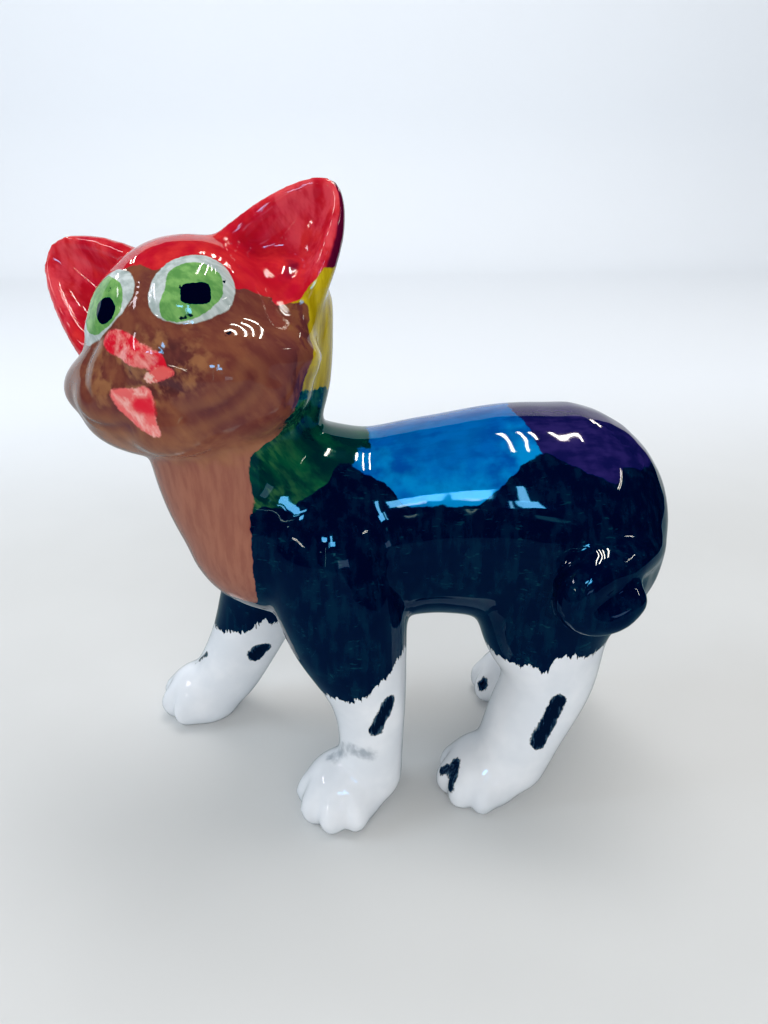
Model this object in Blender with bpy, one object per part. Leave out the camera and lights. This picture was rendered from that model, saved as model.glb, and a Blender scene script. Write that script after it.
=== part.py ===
"""Painted kitten figurine, cast in one piece: a walking kitten that looks up to its left.

The kitten stands on the plane z = 0 and walks towards -Y, with its left side at +X.
Rounded forms are laid over one another, fused, smoothed and cut flat under the paws.
"""
import math

import bpy
import numpy as np

# Driving dimension, in metres: every form below is a share of this height
HEIGHT = 0.21

# Finish of the casting: voxel of the fused forms as a share of the height, rounds of
# smoothing, and the share of the triangles that is kept
FUSE_SHARE = 0.0110
SMOOTH_ROUNDS = 9
FACE_SHARE = 0.16

# Head: centre, turn towards its left, lift of the nose and tilt that raises the left ear
HEAD_CENTRE = (0.030, -0.300, 0.762)
HEAD_TURN = 70.0
HEAD_LIFT = 20.0
HEAD_TILT = 13.0

# How far the pair of ears sits to the left of the head's middle
EARS_ASIDE = 0.006

# Grid of the forms: sides round a form, rings in a round end, between two stations of a limb,
# and from pole to pole of an egg
RING_SIDES = 28
CAP_RINGS = 7
RINGS_PER_SPAN = 7
EGG_RINGS = 15


def closed_grid(rings):
    """Vertices and faces of a lofted skin whose first and last rings are single points."""
    rows, sides = rings.shape[:2]
    first, last = rings[0, 0], rings[-1, 0]
    points = np.concatenate([rings[1:-1].reshape(-1, 3), [first, last]])
    faces = []
    for row in range(rows - 3):
        for side in range(sides):
            after = (side + 1) % sides
            low, high = row * sides, (row + 1) * sides
            faces.append((low + side, low + after, high + after, high + side))
    start, end = len(points) - 2, len(points) - 1
    top = (rows - 3) * sides
    for side in range(sides):
        after = (side + 1) % sides
        faces.append((start, after, side))
        faces.append((end, top + side, top + after))
    return points, faces


def smooth_chain(stations, per_span):
    """Catmull-Rom samples through stations of place and radius."""
    stations = np.array(stations, float)
    padded = np.concatenate([2 * stations[:1] - stations[1:2], stations,
                             2 * stations[-1:] - stations[-2:-1]])
    share = np.linspace(0, 1, per_span, endpoint=False)[:, None]
    spans = []
    for index in range(len(stations) - 1):
        a, b, c, d = padded[index:index + 4]
        spans.append(0.5 * (2 * b + (c - a) * share + (2 * a - 5 * b + 4 * c - d) * share**2
                            + (3 * b - a - 3 * c + d) * share**3))
    return np.concatenate(spans + [stations[-1:]])


def limb(stations):
    """Round-ended tube through stations (x, y, z, radius)."""
    chain = smooth_chain(stations, RINGS_PER_SPAN)
    centre, radius = chain[:, :3], chain[:, 3]
    along = np.gradient(centre, axis=0)
    along /= np.linalg.norm(along, axis=1)[:, None]
    tuck = np.linspace(math.pi / 2, 0, CAP_RINGS, endpoint=False)[:, None]
    centre = np.concatenate([centre[0] - along[0] * radius[0] * np.sin(tuck), centre,
                             centre[-1] + along[-1] * radius[-1] * np.sin(tuck[::-1])])
    radius = np.concatenate([radius[0] * np.cos(tuck[:, 0]), radius,
                             radius[-1] * np.cos(tuck[::-1, 0])])
    along = np.concatenate([np.repeat(along[:1], CAP_RINGS, 0), along,
                            np.repeat(along[-1:], CAP_RINGS, 0)])
    across = np.cross(along, (0.0, 1.0, 0.02))
    short = np.linalg.norm(across, axis=1) < 0.3
    across[short] = np.cross(along[short], (0.0, 0.0, 1.0))
    across /= np.linalg.norm(across, axis=1)[:, None]
    other = np.cross(along, across)
    turn = np.linspace(0, 2 * math.pi, RING_SIDES, endpoint=False)[None, :, None]
    rings = (centre[:, None] + radius[:, None, None]
             * (np.cos(turn) * across[:, None] + np.sin(turn) * other[:, None]))
    return closed_grid(rings)


def egg(centre, radii, turn=0.0, lift=0.0, tilt=0.0):
    """Ellipsoid of three radii (left, forward, up), turned about its own centre."""
    pole = np.linspace(0, math.pi, EGG_RINGS)[:, None]
    round_ = np.linspace(0, 2 * math.pi, RING_SIDES, endpoint=False)[None, :]
    ball = np.stack([np.sin(pole) * np.cos(round_), np.sin(pole) * np.sin(round_),
                     -np.cos(pole) * np.ones_like(round_)], -1)
    axes = facing(turn, lift, tilt)
    points, faces = closed_grid(ball)
    return np.array(centre) + (points * np.array(radii)) @ axes.T, faces


def facing(turn, lift, tilt):
    """Columns left, forward and up of a form turned from -Y towards +X, lifted and tilted."""
    turn, lift, tilt = (math.radians(value) for value in (turn, lift, tilt))
    level = np.array([math.sin(turn), -math.cos(turn), 0.0])
    side = np.array([math.cos(turn), math.sin(turn), 0.0])
    forward = math.cos(lift) * level + math.sin(lift) * np.array([0.0, 0.0, 1.0])
    up = -math.sin(lift) * level + math.cos(lift) * np.array([0.0, 0.0, 1.0])
    left = math.cos(tilt) * side + math.sin(tilt) * up
    return np.stack([left, forward, -math.sin(tilt) * side + math.cos(tilt) * up], 1)


def ear(side):
    """Cupped ear of the head's own frame: a crescent section carried up to a rounded tip.

    The section's middle line is half an ellipse, open to the front. Its width and depth
    shrink towards the tip as the root of the remaining height, so that the tip is round.
    """
    root = np.array([0.100, 0.026, 0.068])
    tip = np.array([0.230, -0.008, 0.202])
    half_width, cup, wall = 0.077, 0.056, 0.020
    rise = np.linspace(0, 1, 15)
    up = tip - root
    length = np.linalg.norm(up)
    up = up / length
    wide = np.cross((0.0, 1.0, 0.0), up)
    wide /= np.linalg.norm(wide)
    front = np.cross(up, wide)
    taper = (1 - rise) ** 0.68 * (1 + 0.33 * rise)
    arc = np.linspace(0, math.pi, 13)
    lip = np.linspace(0, math.pi, 5)[1:-1]
    rings = [np.repeat((root - up * wall)[None], 2 * len(arc) + 2 * len(lip), 0)]
    for share, shrink in zip(rise, taper):
        width, depth = half_width * shrink + 0.004, cup * shrink + 0.002
        thick = wall * (0.55 + 0.45 * shrink)
        middle = np.stack([width * np.cos(arc), -depth * np.sin(arc)], 1)
        normal = np.stack([depth * np.cos(arc), -width * np.sin(arc)], 1)
        normal /= np.linalg.norm(normal, axis=1)[:, None]
        end = np.stack([-np.cos(lip), np.sin(lip)], 1) * thick
        outer, inner = middle + thick * normal, middle - thick * normal
        outline = np.concatenate([outer, middle[-1] + end, inner[::-1],
                                  middle[0] + end])
        base = root + up * length * share
        rings.append(base + outline[:, :1] * wide + outline[:, 1:] * front)
    rings.append(np.repeat((tip + up * wall * 0.4)[None], rings[0].shape[0], 0))
    points, faces = closed_grid(np.array(rings))
    if side < 0:
        points = points * (-1, 1, 1)
        faces = [face[::-1] for face in faces]
    return points + (EARS_ASIDE, 0, 0), faces


def in_head(form):
    """Places a form of the head's own frame (left, forward, up) on the body."""
    points, faces = form
    return np.array(HEAD_CENTRE) + points @ facing(HEAD_TURN, HEAD_LIFT, HEAD_TILT).T, faces


def head_forms():
    """Skull, cheeks, jaw, wide muzzle, chin, nose and the two ears."""
    forms = [
        egg((0, 0, 0.004), (0.155, 0.162, 0.166)),
        egg((0, 0.030, -0.031), (0.195, 0.128, 0.080)),
        egg((0, 0.024, -0.064), (0.174, 0.130, 0.087)),
        egg((0.060, 0.092, -0.054), (0.082, 0.068, 0.058)),
        egg((-0.060, 0.092, -0.054), (0.082, 0.068, 0.058)),
        egg((0, 0.090, -0.106), (0.070, 0.060, 0.046)),
        egg((0, 0.146, -0.022), (0.032, 0.030, 0.028)),
        ear(1),
        ear(-1),
    ]
    return [in_head(form) for form in forms]


def body_forms():
    """Neck, nape, trunk from the chest to the rump, and the round of the rump."""
    return [
        limb([(0.020, -0.280, 0.690, 0.122), (0.006, -0.248, 0.575, 0.140),
              (0.000, -0.205, 0.500, 0.160)]),
        limb([(-0.008, -0.200, 0.570, 0.086), (-0.008, -0.205, 0.650, 0.083),
              (-0.004, -0.190, 0.730, 0.086), (0.010, -0.178, 0.822, 0.079)]),
        limb([(0.000, -0.192, 0.487, 0.165), (0.000, -0.060, 0.464, 0.162),
              (0.000, 0.060, 0.474, 0.168), (0.000, 0.170, 0.474, 0.186),
              (0.000, 0.255, 0.460, 0.202)]),
        egg((0.000, 0.274, 0.430), (0.186, 0.188, 0.188)),
    ]


def leg_forms():
    """Four legs, each a chain from the trunk to the ankle, with its paw and toes."""
    forms = [
        limb([(0.085, -0.120, 0.460, 0.115), (0.120, -0.095, 0.340, 0.100),
              (0.140, -0.065, 0.220, 0.066), (0.148, -0.060, 0.125, 0.055),
              (0.150, -0.066, 0.060, 0.060)]),
        limb([(-0.085, -0.175, 0.430, 0.108), (-0.105, -0.232, 0.300, 0.086),
              (-0.115, -0.280, 0.180, 0.070), (-0.120, -0.322, 0.096, 0.064),
              (-0.122, -0.350, 0.060, 0.062)]),
        limb([(0.062, 0.270, 0.410, 0.148), (0.100, 0.240, 0.320, 0.116),
              (0.126, 0.244, 0.225, 0.080), (0.140, 0.210, 0.140, 0.071),
              (0.145, 0.185, 0.066, 0.066)]),
        limb([(-0.062, 0.275, 0.410, 0.148), (-0.100, 0.300, 0.320, 0.110),
              (-0.110, 0.350, 0.220, 0.068), (-0.112, 0.320, 0.120, 0.058),
              (-0.112, 0.295, 0.060, 0.056)]),
    ]
    forms += paw((0.164, -0.108), 50.0)
    forms += paw((-0.123, -0.378), 0.0)
    forms += paw((0.146, 0.140), 22.0)
    forms += paw((-0.112, 0.255), 0.0)
    return forms


def paw(place, turn):
    """Paw pad and its four toes, fanned about the way it points."""
    axes = facing(turn, 0.0, 0.0)
    centre = np.array([place[0], place[1], 0.038])
    forms = [egg(centre, (0.072, 0.077, 0.064), turn)]
    for angle in (-57.0, -19.0, 19.0, 57.0):
        reach = math.radians(angle)
        out = np.array([0.050 * math.sin(reach), 0.056 * math.cos(reach), -0.008])
        forms.append(egg(centre + axes @ out, (0.026, 0.034, 0.038), turn + angle))
    return forms


def tail_forms():
    """Tail from the middle of the rump round the left haunch, curled back on itself."""
    return [limb([(0.020, 0.415, 0.440, 0.044), (0.110, 0.392, 0.460, 0.039),
                  (0.180, 0.330, 0.470, 0.036), (0.214, 0.265, 0.460, 0.035),
                  (0.224, 0.240, 0.430, 0.034), (0.226, 0.260, 0.404, 0.033),
                  (0.226, 0.298, 0.406, 0.032), (0.222, 0.324, 0.424, 0.029)])]


def glazed_clay():
    """Glossy painted clay: the darkest colour of the glaze, which covers most of the body."""
    material = bpy.data.materials.new("glazed_clay")
    material.use_nodes = True
    shader = material.node_tree.nodes["Principled BSDF"]
    shader.inputs["Base Color"].default_value = (0.02, 0.03, 0.05, 1.0)
    shader.inputs["Roughness"].default_value = 0.12
    shader.inputs["Metallic"].default_value = 0.0
    return material


def floor_cutter():
    """Block below the floor, which cuts the soles flat."""
    mesh = bpy.data.meshes.new("floor_cutter")
    reach, depth = 3 * HEIGHT, HEIGHT
    corners = [(x, y, z) for z in (-depth, 0.0) for y in (-reach, reach)
               for x in (-reach, reach)]
    faces = [(0, 2, 3, 1), (4, 5, 7, 6), (0, 1, 5, 4), (2, 6, 7, 3), (0, 4, 6, 2), (1, 3, 7, 5)]
    mesh.from_pydata(corners, [], faces)
    cutter = bpy.data.objects.new("floor_cutter", mesh)
    bpy.context.scene.collection.objects.link(cutter)
    cutter.hide_render = True
    cutter.display_type = "WIRE"
    return cutter


def kitten():
    """One casting: the forms fused, smoothed, thinned to few faces and cut flat at z = 0."""
    points, faces, count = [], [], 0
    for form_points, form_faces in body_forms() + head_forms() + leg_forms() + tail_forms():
        points.append(form_points)
        faces += [tuple(index + count for index in face) for face in form_faces]
        count += len(form_points)
    mesh = bpy.data.meshes.new("kitten")
    mesh.from_pydata((np.concatenate(points) * HEIGHT).tolist(), [], faces)
    mesh.materials.append(glazed_clay())
    figure = bpy.data.objects.new("kitten", mesh)
    bpy.context.scene.collection.objects.link(figure)

    fuse = figure.modifiers.new("fuse", "REMESH")
    fuse.mode = "VOXEL"
    fuse.voxel_size = FUSE_SHARE * HEIGHT
    fuse.use_smooth_shade = True
    ease = figure.modifiers.new("ease", "SMOOTH")
    ease.factor = 0.5
    ease.iterations = SMOOTH_ROUNDS
    thin = figure.modifiers.new("thin", "DECIMATE")
    thin.ratio = FACE_SHARE
    soles = figure.modifiers.new("soles", "BOOLEAN")
    soles.operation = "DIFFERENCE"
    soles.solver = "EXACT"
    soles.object = floor_cutter()
    return figure


def centre_on_origin(figure):
    """Moves the figure over the floor until its outline from above is centred on the origin."""
    finished = figure.evaluated_get(bpy.context.evaluated_depsgraph_get()).to_mesh()
    across = [vertex.co.x for vertex in finished.vertices]
    along = [vertex.co.y for vertex in finished.vertices]
    figure.location.x = -(min(across) + max(across)) / 2
    figure.location.y = -(min(along) + max(along)) / 2


def main():
    for old in list(bpy.data.objects):
        bpy.data.objects.remove(old, do_unlink=True)
    centre_on_origin(kitten())


main()
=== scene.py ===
"""Painted kitten figurine: the cast body with its brushed colours under a clear glaze.

The body is laid out in shares of the kitten's height, with z = 0 at the floor, as it was
modelled for casting. The kitten walks towards -Y, its left side is at +X, and its head is
turned to its left. Angles are in degrees.
"""
import math

import bpy
import numpy as np
from mathutils import Matrix, Vector


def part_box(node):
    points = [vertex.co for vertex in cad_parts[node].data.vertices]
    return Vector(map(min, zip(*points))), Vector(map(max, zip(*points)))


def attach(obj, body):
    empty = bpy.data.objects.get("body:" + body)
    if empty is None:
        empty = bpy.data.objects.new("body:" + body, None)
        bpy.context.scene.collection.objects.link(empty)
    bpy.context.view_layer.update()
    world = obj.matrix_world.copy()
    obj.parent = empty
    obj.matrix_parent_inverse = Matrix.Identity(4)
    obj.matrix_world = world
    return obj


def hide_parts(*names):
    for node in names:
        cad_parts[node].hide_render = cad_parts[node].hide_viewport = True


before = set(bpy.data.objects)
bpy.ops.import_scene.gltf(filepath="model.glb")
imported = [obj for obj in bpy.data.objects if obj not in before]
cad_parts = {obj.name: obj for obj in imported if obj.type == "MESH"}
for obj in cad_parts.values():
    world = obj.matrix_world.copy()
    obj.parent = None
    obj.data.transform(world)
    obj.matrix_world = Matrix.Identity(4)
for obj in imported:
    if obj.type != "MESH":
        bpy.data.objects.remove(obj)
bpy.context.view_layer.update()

# Height from the floor to the taller ear, in metres
HEIGHT = 0.21
MILLIMETRE = 0.001

# Fine casting: voxel as a share of the height, rounds of smoothing, and how softly a sole
# is pressed flat on the floor
FINE_SHARE = 0.0060
FINE_ROUNDS = 30
SOLE_SOFT = 0.0015

# Left cheek under the ear, which is smoothed further: rounds, middle and half spans, in
# degrees (to the kitten's left of its nose, above the head's centre)
CHEEK_ROUNDS = 60
CHEEK_MIDDLE = (71.0, 3.0)
CHEEK_HALF = (31.0, 13.0)

# Head: centre, turn towards the kitten's left, lift of the nose, tilt that raises the left ear
HEAD_CENTRE = np.array([0.030, -0.300, 0.762])
HEAD_TURN = 70.0
HEAD_LIFT = 20.0
HEAD_TILT = 13.0

# How far the pair of ears sits to the left of the head's middle
EARS_ASIDE = 0.006

# How finely the forms are drawn: points round a ring, and rings along a cap, span and egg
RING_SIDES = 28
CAP_RINGS = 7
RINGS_PER_SPAN = 7
EGG_RINGS = 15

# Millimetres of face surface for each degree seen from the head's centre
FACE_ARC = 0.58

# Furthest that paint on the head reaches from the head's centre, in shares of the height
HEAD_REACH = 0.24


def through(stations, steps):
    """Smooth curve through stations: Catmull-Rom cubics, each span sampled in equal steps."""
    stations = np.array(stations, float)
    padded = np.concatenate([2 * stations[:1] - stations[1:2], stations,
                             2 * stations[-1:] - stations[-2:-1]])
    a, b, c, d = (padded[start:start + len(stations) - 1, None] for start in range(4))
    share = np.linspace(0, 1, steps, endpoint=False)[None, :, None]
    spans = 0.5 * (2 * b + (c - a) * share + (2 * a - 5 * b + 4 * c - d) * share**2
                   + (3 * b - a - 3 * c + d) * share**3)
    return np.concatenate([spans.reshape(-1, stations.shape[1]), stations[-1:]])


def skin(rings):
    """Closed surface over a grid of rings: quads between rings, fans at both end points."""
    rows, sides = rings.shape[:2]
    around = np.arange(sides)
    after = (around + 1) % sides
    low = np.arange(rows - 3)[:, None] * sides
    quads = np.stack([low + around, low + after, low + sides + after, low + sides + around], -1)
    count = (rows - 2) * sides
    last = count - sides
    fans = np.concatenate([
        np.stack([np.full(sides, count), after, around], 1),
        np.stack([np.full(sides, count + 1), last + around, last + after], 1)])
    points = np.concatenate([rings[1:-1].reshape(-1, 3), rings[:1, 0], rings[-1:, 0]])
    return points, quads.reshape(-1, 4), fans


def limb(stations):
    """Round-ended tube: circles of the stations' radius about the smooth curve through them."""
    chain = through(stations, RINGS_PER_SPAN)
    centre, radius = chain[:, :3], chain[:, 3]
    along = np.gradient(centre, axis=0)
    along /= np.linalg.norm(along, axis=1)[:, None]
    tuck = np.linspace(math.pi / 2, 0, CAP_RINGS, endpoint=False)[:, None]
    centre = np.concatenate([centre[0] - along[0] * radius[0] * np.sin(tuck), centre,
                             centre[-1] + along[-1] * radius[-1] * np.sin(tuck[::-1])])
    radius = np.concatenate([radius[0] * np.cos(tuck[:, 0]), radius,
                             radius[-1] * np.cos(tuck[::-1, 0])])
    along = np.concatenate([np.repeat(along[:1], CAP_RINGS, 0), along,
                            np.repeat(along[-1:], CAP_RINGS, 0)])
    across = np.cross(along, (0.0, 1.0, 0.02))
    short = np.linalg.norm(across, axis=1) < 0.3
    across[short] = np.cross(along[short], (0.0, 0.0, 1.0))
    across /= np.linalg.norm(across, axis=1)[:, None]
    other = np.cross(along, across)
    turn = np.linspace(0, 2 * math.pi, RING_SIDES, endpoint=False)[None, :, None]
    return skin(centre[:, None] + radius[:, None, None]
                * (np.cos(turn) * across[:, None] + np.sin(turn) * other[:, None]))


def facing(turn, lift, tilt):
    """Columns left, forward and up of a form turned from -Y towards +X, lifted and tilted."""
    turn, lift, tilt = (math.radians(value) for value in (turn, lift, tilt))
    level = np.array([math.sin(turn), -math.cos(turn), 0.0])
    side = np.array([math.cos(turn), math.sin(turn), 0.0])
    upright = np.array([0.0, 0.0, 1.0])
    forward = math.cos(lift) * level + math.sin(lift) * upright
    up = -math.sin(lift) * level + math.cos(lift) * upright
    left = math.cos(tilt) * side + math.sin(tilt) * up
    return np.stack([left, forward, -math.sin(tilt) * side + math.cos(tilt) * up], 1)


def egg(centre, radii, turn=0.0):
    """Ellipsoid: a unit ball of latitude rings times three radii (left, forward, up)."""
    pole = np.linspace(0, math.pi, EGG_RINGS)[:, None]
    around = np.linspace(0, 2 * math.pi, RING_SIDES, endpoint=False)[None, :]
    ball = np.stack([np.sin(pole) * np.cos(around), np.sin(pole) * np.sin(around),
                     -np.cos(pole) * np.ones_like(around)], -1)
    axes = facing(turn, 0.0, 0.0)
    return skin(np.array(centre) + (ball * np.array(radii)) @ axes.T)


def ear(side):
    """Cupped ear in the head's frame: a crescent section carried from the root to the tip.

    The section's middle line is half an ellipse, open to the front, with a wall to each side
    of it. Its width and depth shrink towards the tip as a root of the remaining height.
    """
    root = np.array([0.100, 0.026, 0.068])
    tip = np.array([0.230, -0.008, 0.202])
    half_width, cup, wall = 0.077, 0.056, 0.020
    rise = np.linspace(0, 1, 15)[:, None, None]
    up = tip - root
    length = np.linalg.norm(up)
    up = up / length
    wide = np.cross((0.0, 1.0, 0.0), up)
    wide /= np.linalg.norm(wide)
    front = np.cross(up, wide)
    shrink = (1 - rise) ** 0.68 * (1 + 0.33 * rise)
    width, depth = half_width * shrink + 0.004, cup * shrink + 0.002
    thick = wall * (0.55 + 0.45 * shrink)
    arc = np.linspace(0, math.pi, 13)[None, :, None]
    lip = np.linspace(0, math.pi, 5)[None, 1:-1, None]
    middle = np.concatenate([width * np.cos(arc), -depth * np.sin(arc)], 2)
    normal = np.concatenate([depth * np.cos(arc), -width * np.sin(arc)], 2)
    normal /= np.linalg.norm(normal, axis=2, keepdims=True)
    end = thick * np.concatenate([-np.cos(lip), np.sin(lip)], 2)
    inner = (middle - thick * normal)[:, ::-1]
    outline = np.concatenate([middle + thick * normal, middle[:, -1:] + end, inner,
                              middle[:, :1] + end], 1)
    rings = root + up * length * rise + outline[..., :1] * wide + outline[..., 1:] * front
    low = np.broadcast_to(root - up * wall, (1,) + rings.shape[1:])
    high = np.broadcast_to(tip + up * wall * 0.4, (1,) + rings.shape[1:])
    points, quads, fans = skin(np.concatenate([low, rings, high]))
    if side < 0:
        points, quads, fans = points * (-1, 1, 1), quads[:, ::-1], fans[:, ::-1]
    return points + (EARS_ASIDE, 0, 0), quads, fans


def paw(place, turn):
    """Paw pad and its four toes, fanned about the way it points."""
    axes = facing(turn, 0.0, 0.0)
    centre = np.array([place[0], place[1], 0.038])
    forms = [egg(centre, (0.072, 0.077, 0.064), turn)]
    for angle in (-57.0, -19.0, 19.0, 57.0):
        reach = math.radians(angle)
        out = np.array([0.050 * math.sin(reach), 0.056 * math.cos(reach), -0.008])
        forms.append(egg(centre + axes @ out, (0.026, 0.034, 0.038), turn + angle))
    return forms


def head_forms():
    """Skull, cheeks, jaw, wide muzzle, chin, nose and the two ears, placed on the neck."""
    forms = [
        egg((0, 0, 0.004), (0.155, 0.162, 0.166)),
        egg((0, 0.030, -0.031), (0.195, 0.128, 0.080)),
        egg((0, 0.024, -0.064), (0.174, 0.130, 0.087)),
        egg((0.060, 0.092, -0.054), (0.082, 0.068, 0.058)),
        egg((-0.060, 0.092, -0.054), (0.082, 0.068, 0.058)),
        egg((0, 0.090, -0.106), (0.070, 0.060, 0.046)),
        egg((0, 0.146, -0.022), (0.032, 0.030, 0.028)),
        ear(1),
        ear(-1),
    ]
    axes = facing(HEAD_TURN, HEAD_LIFT, HEAD_TILT)
    return [(HEAD_CENTRE + points @ axes.T, quads, fans) for points, quads, fans in forms]


def body_forms():
    """Neck, nape, trunk from the chest to the rump, and the round of the rump."""
    return [
        limb([(0.020, -0.280, 0.690, 0.122), (0.006, -0.248, 0.575, 0.140),
              (0.000, -0.205, 0.500, 0.160)]),
        limb([(-0.008, -0.200, 0.570, 0.086), (-0.008, -0.205, 0.650, 0.083),
              (-0.004, -0.190, 0.730, 0.086), (0.010, -0.178, 0.822, 0.079)]),
        limb([(0.000, -0.192, 0.487, 0.165), (0.000, -0.060, 0.464, 0.162),
              (0.000, 0.060, 0.474, 0.168), (0.000, 0.170, 0.474, 0.186),
              (0.000, 0.255, 0.460, 0.202)]),
        egg((0.000, 0.274, 0.430), (0.186, 0.188, 0.188)),
    ]


# Middle of each paw and the way it points, in degrees from -Y towards +X
PAWS = [((0.164, -0.108), 50.0), ((-0.123, -0.378), 0.0), ((0.146, 0.140), 22.0),
        ((-0.112, 0.255), 0.0)]


def leg_forms():
    """Four legs, each a chain from the trunk to the ankle, with its paw and toes."""
    forms = [
        limb([(0.085, -0.120, 0.460, 0.115), (0.120, -0.095, 0.340, 0.100),
              (0.140, -0.065, 0.220, 0.066), (0.148, -0.060, 0.125, 0.055),
              (0.150, -0.066, 0.060, 0.060)]),
        limb([(-0.085, -0.175, 0.430, 0.108), (-0.105, -0.232, 0.300, 0.086),
              (-0.115, -0.280, 0.180, 0.070), (-0.120, -0.322, 0.096, 0.064),
              (-0.122, -0.350, 0.060, 0.062)]),
        limb([(0.062, 0.270, 0.410, 0.148), (0.100, 0.240, 0.320, 0.116),
              (0.126, 0.244, 0.225, 0.080), (0.140, 0.210, 0.140, 0.071),
              (0.145, 0.185, 0.066, 0.066)]),
        limb([(-0.062, 0.275, 0.410, 0.148), (-0.100, 0.300, 0.320, 0.110),
              (-0.110, 0.350, 0.220, 0.068), (-0.112, 0.320, 0.120, 0.058),
              (-0.112, 0.295, 0.060, 0.056)]),
    ]
    for place, turn in PAWS:
        forms += paw(place, turn)
    return forms


def tail_forms():
    """Tail from the middle of the rump round the left haunch, curled back on itself."""
    return [limb([(0.020, 0.408, 0.440, 0.044), (0.110, 0.384, 0.456, 0.039),
                  (0.180, 0.330, 0.470, 0.036), (0.214, 0.265, 0.460, 0.035),
                  (0.224, 0.240, 0.430, 0.034), (0.226, 0.260, 0.404, 0.033),
                  (0.226, 0.298, 0.406, 0.032), (0.222, 0.324, 0.424, 0.029)])]


def cast_mesh():
    """The forms laid over one another, fused by a fine voxel grid and smoothed, in metres."""
    points, faces, count = [], [], 0
    for form_points, quads, fans in body_forms() + head_forms() + leg_forms() + tail_forms():
        points.append(form_points)
        faces += (quads + count).tolist() + (fans + count).tolist()
        count += len(form_points)
    raw = bpy.data.meshes.new("forms")
    raw.from_pydata((np.concatenate(points) * HEIGHT).tolist(), [], faces)
    mould = bpy.data.objects.new("forms", raw)
    bpy.context.scene.collection.objects.link(mould)
    fuse = mould.modifiers.new("fuse", "REMESH")
    fuse.mode = "VOXEL"
    fuse.voxel_size = FINE_SHARE * HEIGHT
    fuse.use_smooth_shade = True
    ease = mould.modifiers.new("ease", "SMOOTH")
    ease.factor = 0.5
    ease.iterations = FINE_ROUNDS
    ready = mould.evaluated_get(bpy.context.evaluated_depsgraph_get())
    mesh = bpy.data.meshes.new_from_object(ready)
    bpy.data.objects.remove(mould, do_unlink=True)
    mesh.name = "painted_kitten"
    return mesh


def smooth_share(value, low, high):
    """0 below low, 1 above high, and a smooth step 3t^2 - 2t^3 between them."""
    share = np.clip((value - low) / (high - low), 0.0, 1.0)
    return share * share * (3 - 2 * share)


def along_edge(at, stations):
    """Height of the smooth curve through (place, height) stations, read at each place."""
    curve = through(stations, 8)
    return np.interp(at, curve[:, 0], curve[:, 1])


def in_outline(u, v, corners):
    """Distance to the smooth closed outline through the corners, positive inside it.

    The outline is sampled as short chords. The distance is the least one to a chord, and a
    point is inside if a ray from it crosses the chords an odd number of times.
    """
    corners = np.array(corners, float)
    looped = through(np.concatenate([corners[-1:], corners, corners[:2]]), 6)[6:-6]
    start, end = looped[:-1], looped[1:]
    near = np.nonzero((u > looped[:, 0].min() - 8) & (u < looped[:, 0].max() + 8)
                      & (v > looped[:, 1].min() - 8) & (v < looped[:, 1].max() + 8))[0]
    distance = np.full(len(u), -8.0)
    pu, pv = u[near, None], v[near, None]
    run = end - start
    share = ((pu - start[:, 0]) * run[:, 0] + (pv - start[:, 1]) * run[:, 1])
    share = np.clip(share / np.maximum((run**2).sum(1), 1e-9), 0, 1)
    gap = np.hypot(pu - start[:, 0] - share * run[:, 0], pv - start[:, 1] - share * run[:, 1])
    spans = (start[:, 1] > pv) != (end[:, 1] > pv)
    rise = np.where(run[:, 1] == 0, 1e-9, run[:, 1])
    crossed = spans & (pu < start[:, 0] + (pv - start[:, 1]) * run[:, 0] / rise)
    inside = crossed.sum(1) % 2 == 1
    distance[near] = np.maximum(np.where(inside, 1, -1) * gap.min(1), -8.0)
    return distance


def in_stroke(place, start, end, radius):
    """Radius less the distance to a straight stroke, in millimetres, positive inside it."""
    start, end = np.array(start), np.array(end)
    run = end - start
    share = np.clip(((place - start) @ run) / (run @ run), 0, 1)[:, None]
    gap = np.linalg.norm(place - start - share * run, axis=1)
    return (radius - gap) * HEIGHT / MILLIMETRE


class Surface:
    """Where each vertex of the casting lies, in the body's frame and as seen from the head."""

    def __init__(self, place, normal):
        self.place = place
        self.x, self.y, self.z = place.T
        axes = facing(HEAD_TURN, HEAD_LIFT, HEAD_TILT)
        self.head = (place - HEAD_CENTRE) @ axes
        self.head_normal = normal @ axes
        left, forward, up = self.head.T
        self.reach = np.linalg.norm(self.head, axis=1)
        self.aside = np.degrees(np.arctan2(left, forward))
        self.above = np.degrees(np.arctan2(up, np.hypot(left, forward)))


# Outlines on the face in degrees (to the kitten's left of its nose, above the head's centre)
LEFT_EYE_WHITE = [(7, 12), (6, 17), (7, 24), (10, 31), (18, 38), (28, 41), (38, 41), (45, 37),
                  (49, 31), (49.5, 24), (48, 17), (44, 11), (37, 7), (28, 4), (19, 4.5), (11, 8)]
LEFT_EYE_GREEN = [(11.5, 9), (12, 14), (15, 21), (16, 27), (20, 31.5), (27, 34), (34, 33.5),
                  (39, 31), (42.5, 26), (42, 19), (40, 15), (36, 11), (30, 7), (22, 5), (15, 6)]
LEFT_PUPIL = [(23, 21.5), (29, 22.5), (35, 22), (35.5, 17), (34, 12.5), (29, 12), (22.5, 13),
              (21.5, 16)]
RIGHT_EYE_WHITE = [(-32, 5), (-21, 7), (-11, 12), (-5, 17), (-2, 22), (-2, 28), (-6, 34),
                   (-12, 38), (-20, 41), (-30, 41), (-38, 37), (-42, 30), (-44, 20), (-47, 12),
                   (-42, 6)]
RIGHT_EYE_GREEN = [(-30, 8), (-35, 12), (-37, 19), (-36, 27), (-31, 34), (-23, 36), (-15, 32),
                   (-9, 28), (-7, 22), (-8, 17), (-11, 13), (-16, 10), (-23, 8)]
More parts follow.
